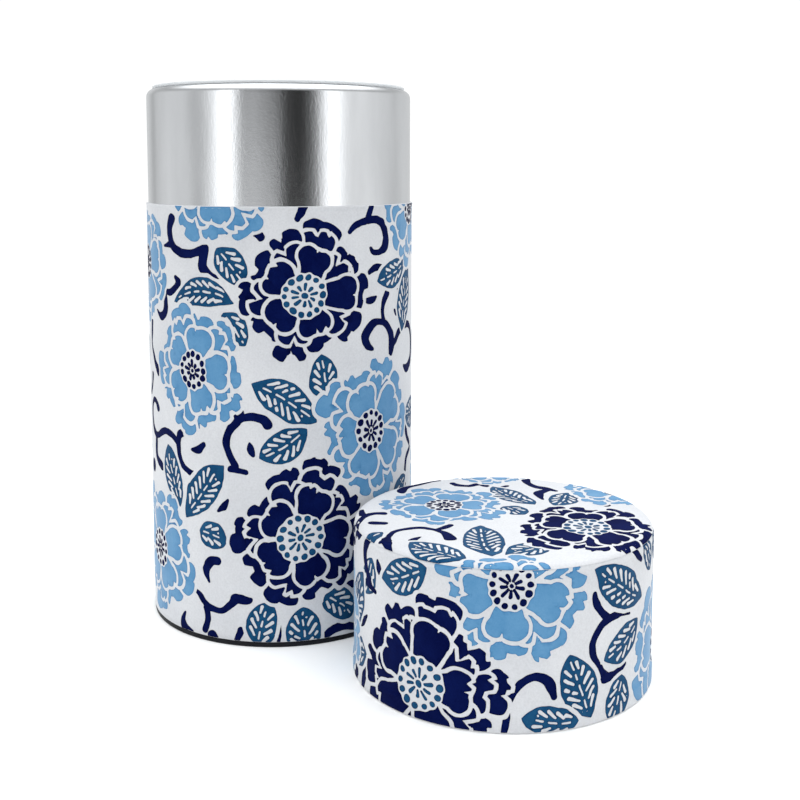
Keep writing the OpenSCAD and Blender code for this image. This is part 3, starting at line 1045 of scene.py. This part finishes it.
def lid_side_outline():
    outline = [(HEM_R + PAPER_T - 0.05, LID_PAPER_FOOT), (HEM_R + PAPER_T, LID_PAPER_FOOT + 0.06)]
    outline += [(HEM_R + PAPER_T, z) for z in np.linspace(1.2, HEM_H - 0.4, 3)]
    outline += [(HEM_R + PAPER_T - 0.07, HEM_H)]
    outline += [(LID_PAPER_R + 0.05, HEM_H + HEM_SLOPE), (LID_PAPER_R, HEM_H + 1.1)]
    outline += [(LID_PAPER_R, z) for z in np.linspace(HEM_H + 3, CORNER_Z - 1, 10)]
    outline += arc(CORNER_X, CORNER_Z, CORNER_R, 0, PAPER_SEAM + 4, 6)
    return outline


def lid_papers():
    """The lid's side sheet and its round top sheet, which meet at a seam on the corner."""
    side = Surface(LID_AXIS, lid_side_outline(), LID_PAPER_R, LID_PAPER_FOOT)
    inner = arc(CORNER_X, CORNER_Z, METAL_CORNER, PAPER_SEAM + 4, 0, 4)
    inner += [(LID_METAL_R, HEM_H + HEM_SLOPE), (HEM_R, HEM_H), (HEM_R, LID_PAPER_FOOT)]
    paper_tube("lid_side_washi", side, inner, "lid_side_paper", "outer_lid")
    half = math.pi * LID_PAPER_R
    sheet = Print(-half, half, 0, LID_H + 2, 23)
    shifts = [(0.0, 0.0), (half, 3.0), (-half, 3.0)]
    fill(sheet, (), LID_BACK_LEAVES, LID_BACK_FLOWERS, shifts)
    fill(sheet, LID_VINES, LID_LEAVES, LID_FLOWERS, shifts)
    x, s = sheet.plain
    past_ends = np.maximum(LID_PAPER_FOOT + 0.1 - s, s - side.along[-1] + 0.1)
    sheet.trim(np.maximum(np.abs(x) - half + 0.1, past_ends))
    print_inks(sheet, "lid_side_print", side.place, "outer_lid", True)

    edge_step = 0.13
    corner = arc(CORNER_X, CORNER_Z, CORNER_R + 0.02, 90, 68, 4)
    corner += arc(CORNER_X, CORNER_Z, CORNER_R + edge_step, 58, PAPER_SEAM, 5)
    outline = [(r, LID_H) for r in (0.0, 10.0, 20.0, 30.0, 34.0)] + corner
    lining = arc(CORNER_X, CORNER_Z, METAL_CORNER, PAPER_SEAM, 90, 6)
    lining = [(r, z) for r, z in lining] + [(30.0, LID_METAL_TOP), (0.0, LID_METAL_TOP)]
    top = revolve("lid_top_washi", outline + lining, LID_AXIS, PAPER)
    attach(top, "outer_lid")
    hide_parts("lid_top_paper")
    unrolled = np.concatenate([[0], np.cumsum(np.hypot(*np.diff(np.array(outline), axis=0).T))])
    radii, heights = np.array(outline).T

    def place_top(x, y, height):
        """Points above the top sheet, which bends down round the corner."""
        distance = np.hypot(x, y)
        r, z = np.interp(distance, unrolled, radii), np.interp(distance, unrolled, heights)
        tilt = np.clip((r - CORNER_X) / CORNER_R, 0, 1)
        raised = height + (CORNER_LIFT if height > 0 else 0.0) * np.clip(distance - CORNER_X, 0, 1)
        r, z = r + raised * tilt, z + raised * np.sqrt(1 - tilt * tilt)
        scale = r / np.maximum(distance, 1e-6)
        return np.stack([LID_X + x * scale, LID_Y + y * scale, z], 1) * MM

    edge = unrolled[-1]
    disc_print = Print(-edge, edge, -edge, edge, 37)
    fill(disc_print, TOP_VINES, TOP_LEAVES, TOP_FLOWERS)
    x, y = disc_print.plain
    disc_print.trim(np.hypot(x, y) - edge + 0.08)
    print_inks(disc_print, "lid_top_print", place_top, "outer_lid", True)


# ---------------------------------------------------------------- metal and plastic pieces
def finish_piece(obj, body, node):
    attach(obj, body)
    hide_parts(node)


def base_plate():
    """Near-black pan with a bead round its panel, and the rounded rim of its seam."""
    seam_r = RIM_R - SHEET_T
    grip_r = seam_r - SHEET_T
    pan_r = grip_r - SHEET_T
    panel_r = pan_r - STEP_W
    low = PANEL_LIFT - SHEET_T
    outline = arc(RIM_R - 0.32, 0.32, 0.32, 270, 360, 5)
    outline += arc(RIM_R - 0.14, RIM_H - 0.14, 0.14, 0, 180, 5)
    outline += [(seam_r, SHEET_T), (grip_r, SHEET_T), (grip_r, RIM_H + 1)]
    outline += [(pan_r, RIM_H + 1), (pan_r, low)]
    outline += [(panel_r + 0.6, low), (panel_r, PANEL_LIFT), (0, PANEL_LIFT), (0, low)]
    outline += [(panel_r - 6.0, low), (panel_r - 5.6, low - 0.22)]
    outline += [(panel_r - 4.8, low - 0.22), (panel_r - 4.4, low)]
    outline += [(panel_r - 0.4, low), (panel_r + 0.2, low - SHEET_T), (pan_r - 0.3, low - SHEET_T)]
    outline += arc(pan_r + 0.2, 0.25, 0.25, 180, 270, 4)
    finish_piece(revolve("base_pan", outline, TIN_AXIS, NEAR_BLACK), "tin", "base_plate")


def neck_sleeve():
    """Bare sleeve with a rolled shoulder, and its welded seam at the back."""
    outline = [(NECK_R, z) for z in np.linspace(NECK_LOW, CREST_Z - SHOULDER_R - 0.5, 12)]
    outline += arc(NECK_R - SHOULDER_R, CREST_Z - SHOULDER_R, SHOULDER_R, 0, 90, 14)
    roll_x, roll_z = MOUTH_R + MOUTH_ROLL, CREST_Z - MOUTH_ROLL
    outline += arc(roll_x, roll_z, MOUTH_ROLL, 90, 180, 8)
    outline += [(MOUTH_R, CREST_Z - MOUTH_HEM), (MOUTH_R + SHEET_T, CREST_Z - MOUTH_HEM)]
    outline += arc(roll_x, roll_z, MOUTH_ROLL - SHEET_T, 180, 90, 6)
    outline += arc(NECK_R - SHOULDER_R, CREST_Z - SHOULDER_R, SHOULDER_R - SHEET_T, 90, 0, 8)
    outline += [(NECK_R - SHEET_T, NECK_LOW)]

    def weld(angle, radius, height):
        """A flat lapped seam, 2.4 mm wide, at the back of the sleeve."""
        across = abs(angle - math.pi) * NECK_R
        return radius + WELD_RISE * max(0.0, 1 - (across / WELD_HALF) ** 4), height

    sleeve = revolve("neck_tinplate", outline, TIN_AXIS, TINPLATE, 2 * ROUND, weld)
    finish_piece(sleeve, "tin", "neck_sleeve")


def inner_lid():
    """Press-fit lid: flange, plug wall, dished floor with a moulded ring, and a pull knob."""
    floor = FLANGE_TOP - RECESS_DEPTH
    knob_top = FLANGE_TOP - 0.6
    outline = [(0, floor - PLASTIC_T), (0, knob_top - 0.5), (1.0, knob_top - 0.5)]
    outline += [(1.3, knob_top - 0.1), (1.7, knob_top)]
    outline += [(KNOB_R - 1.6, knob_top)] + arc(KNOB_R - 0.7, knob_top - 0.7, 0.7, 90, 0, 6)
    outline += [(KNOB_R - 0.1, knob_top - 1.7), (KNOB_R - 0.4, knob_top - 1.85)]
    outline += [(STEM_R + 0.2, knob_top - 2.1)]
    outline += arc(STEM_R + 0.8, floor + 0.8, 0.8, 180, 270, 5)
    outline += [(14.6, floor), (14.9, floor + 0.25), (15.7, floor + 0.25), (16.0, floor)]
    outline += arc(RECESS_R - 0.7, floor + 0.7, 0.7, 270, 360, 5)
    outline += arc(RECESS_R + 0.35, FLANGE_TOP - 0.35, 0.35, 180, 90, 4)
    outline += arc(FLANGE_R - 0.35, FLANGE_TOP - 0.35, 0.35, 90, 0, 5)
    outline += arc(FLANGE_R - 0.15, CREST_Z + 0.15, 0.15, 0, -90, 2)
    outline += [(PLUG_R + 0.2, CREST_Z), (PLUG_R, CREST_Z - 0.2)]
    outline += [(PLUG_R, PLUG_FOOT + 1.2), (PLUG_R - 0.4, PLUG_FOOT)]
    outline += [(RECESS_R + 0.1, PLUG_FOOT), (RECESS_R, PLUG_FOOT + 0.2), (RECESS_R, floor - PLASTIC_T)]
    moulding = revolve("inner_lid_moulding", outline, TIN_AXIS, PLASTIC)
    finish_piece(moulding, "inner_lid_body", "inner_lid")


def lid_metal():
    """The outer lid's hemmed wall and its clinched top plate."""
    flange_in = CORNER_X - TURNED_IN
    wall = [(LID_BORE_R, z) for z in np.linspace(CORNER_Z, HEM_H, 6)]
    wall += [(LID_BORE_R, 1.0)] + arc(LID_METAL_R, SHEET_T, SHEET_T, 180, 360, 10)
    wall += [(HEM_R, HEM_H), (LID_METAL_R, HEM_H + HEM_SLOPE)]
    wall += arc(CORNER_X, CORNER_Z, METAL_CORNER, 0, 90, 10)
    wall += [(flange_in, LID_METAL_TOP), (flange_in, LID_METAL_TOP - SHEET_T)]
    wall += arc(CORNER_X, CORNER_Z, METAL_CORNER - SHEET_T, 90, 0, 8)
    finish_piece(revolve("lid_tinplate", wall, LID_AXIS, TINPLATE), "outer_lid", "lid_shell")

    step = flange_in - 0.1
    high, low = LID_METAL_TOP, LID_METAL_TOP - SHEET_T
    plate = [(0, high), (step, high), (step + 0.1, low), (CORNER_X, low), (CORNER_X, low - SHEET_T)]
    plate += [(step - 0.2, low - SHEET_T), (step - 0.5, low), (step - 5.0, low), (step - 5.4, low - 0.25)]
    plate += [(step - 6.2, low - 0.25), (step - 6.6, low), (0, low)]
    top_plate = revolve("lid_plate_tinplate", plate, LID_AXIS, DULL_TINPLATE)
    finish_piece(top_plate, "outer_lid", "lid_top_plate")


def carried_metal():
    """The hidden body tube keeps its CAD shape and gets the inside finish."""
    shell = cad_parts["body_shell"]
    for slot in shell.material_slots:
        slot.material = DULL_TINPLATE


# ---------------------------------------------------------------- camera, light and floor
def camera():
    """A close view from a little below the neck's top, with the lid in front on the right."""
    data = bpy.data.cameras.new("view")
    data.sensor_width = 36.0
    data.lens = 52.42
    data.shift_y = -0.1375
    data.clip_start, data.clip_end = 0.01, 20.0
    cam = bpy.data.objects.new("view", data)
    cam.location = (0.03464, -0.33897, 0.12979)
    cam.rotation_euler = (math.radians(90 - 6.251), -0.0014, 0.0)
    bpy.context.scene.collection.objects.link(cam)
    bpy.context.scene.camera = cam


def smooth_band(tree, angle, low, high, soft):
    """One inside a band of angles, falling to zero over a soft edge."""
    rise = add(tree, "ShaderNodeMapRange", interpolation_type="SMOOTHSTEP")
    fall = add(tree, "ShaderNodeMapRange", interpolation_type="SMOOTHSTEP")
    for node, start, end in ((rise, low - soft, low + soft), (fall, high + soft, high - soft)):
        tree.links.new(angle, node.inputs["Value"])
        node.inputs["From Min"].default_value = math.radians(start)
        node.inputs["From Max"].default_value = math.radians(end)
    return math_node(tree, "MULTIPLY", rise.outputs["Result"], fall.outputs["Result"])


# The ring of light round the horizon: azimuth from the front towards +X, and its level over two
HORIZON = (
    (-180, 0.35), (-150, 0.36), (-140, 0.31), (-133, 0.24), (-124, 0.33), (-104, 0.40), (-80, 0.375),
    (-72, 0.30), (-66, 0.29), (-57, 0.42), (-51, 0.60), (-45, 0.86), (-37, 0.86), (-31, 0.48), (-26, 0.18),
    (-15, 0.20), (-5, 0.14), (5, 0.10), (11, 0.03), (24, 0.012), (31, 0.06), (36, 0.13), (41, 0.42),
    (47, 0.80), (56, 0.80), (61, 0.56), (68, 0.44), (85, 0.45), (108, 0.385), (125, 0.32), (135, 0.35),
    (180, 0.35),
)


def studio():
    """A pale ring of light with a dark gap in front, and a bright top; the camera sees plain white."""
    world = bpy.data.worlds.new("studio")
    bpy.context.scene.world = world
    world.use_nodes = True
    tree = world.node_tree
    tree.nodes.clear()
    coords = add(tree, "ShaderNodeTexCoord")
    split = add(tree, "ShaderNodeSeparateXYZ")
    tree.links.new(coords.outputs["Generated"], split.inputs[0])
    across, depth, up = split.outputs
    azimuth = math_node(tree, "ARCTAN2", across, math_node(tree, "MULTIPLY", depth, -1.0))
    elevation = math_node(tree, "ARCSINE", up)
    turn = add(tree, "ShaderNodeMapRange")
    tree.links.new(azimuth, turn.inputs["Value"])
    turn.inputs["From Min"].default_value = -math.pi
    turn.inputs["From Max"].default_value = math.pi
    ring = ramp(tree, turn.outputs["Result"], [((angle + 180) / 360, level) for angle, level in HORIZON])
    patch = smooth_band(tree, azimuth, -27, 6, 5)
    patch = math_node(tree, "MULTIPLY", patch, smooth_band(tree, elevation, -30, 0.5, 4))
    ring = math_node(tree, "ADD", ring, math_node(tree, "MULTIPLY", patch, 0.14))
    top = add(tree, "ShaderNodeMapRange", interpolation_type="SMOOTHSTEP")
    tree.links.new(up, top.inputs["Value"])
    for name, value in (("From Min", 0.5), ("From Max", 0.95), ("To Min", 0.27), ("To Max", 1.36)):
        top.inputs[name].default_value = value
    near = smooth_band(tree, elevation, -20, 20, 8)
    level = math_node(tree, "MULTIPLY", near, ring)
    rest = math_node(tree, "MULTIPLY", math_node(tree, "SUBTRACT", 1.0, near), top.outputs["Result"])
    level = math_node(tree, "MULTIPLY", math_node(tree, "ADD", level, rest), 2.0)
    lit = add(tree, "ShaderNodeBackground")
    tree.links.new(level, lit.inputs["Strength"])
    lit.inputs["Color"].default_value = (0.97, 0.99, 1.0, 1.0)
    plain = add(tree, "ShaderNodeBackground", Strength=1.05)
    plain.inputs["Color"].default_value = (1, 1, 1, 1)
    path = add(tree, "ShaderNodeLightPath")
    choose = add(tree, "ShaderNodeMixShader")
    tree.links.new(path.outputs["Is Camera Ray"], choose.inputs[0])
    tree.links.new(lit.outputs[0], choose.inputs[1])
    tree.links.new(plain.outputs[0], choose.inputs[2])
    out = add(tree, "ShaderNodeOutputWorld")
    tree.links.new(choose.outputs[0], out.inputs["Surface"])


def floor():
    bm = bmesh.new()
    bmesh.ops.create_grid(bm, x_segments=8, y_segments=8, size=0.8)
    mesh = bpy.data.meshes.new("floor")
    bm.to_mesh(mesh)
    bm.free()
    obj = bpy.data.objects.new("floor", mesh)
    bpy.context.scene.collection.objects.link(obj)
    mesh.materials.append(floor_material())


camera()
studio()
floor()
base_plate()
neck_sleeve()
inner_lid()
lid_metal()
carried_metal()
body_paper()
lid_papers()

scene = bpy.context.scene
scene.view_settings.view_transform = "Standard"
scene.view_settings.look = "None"
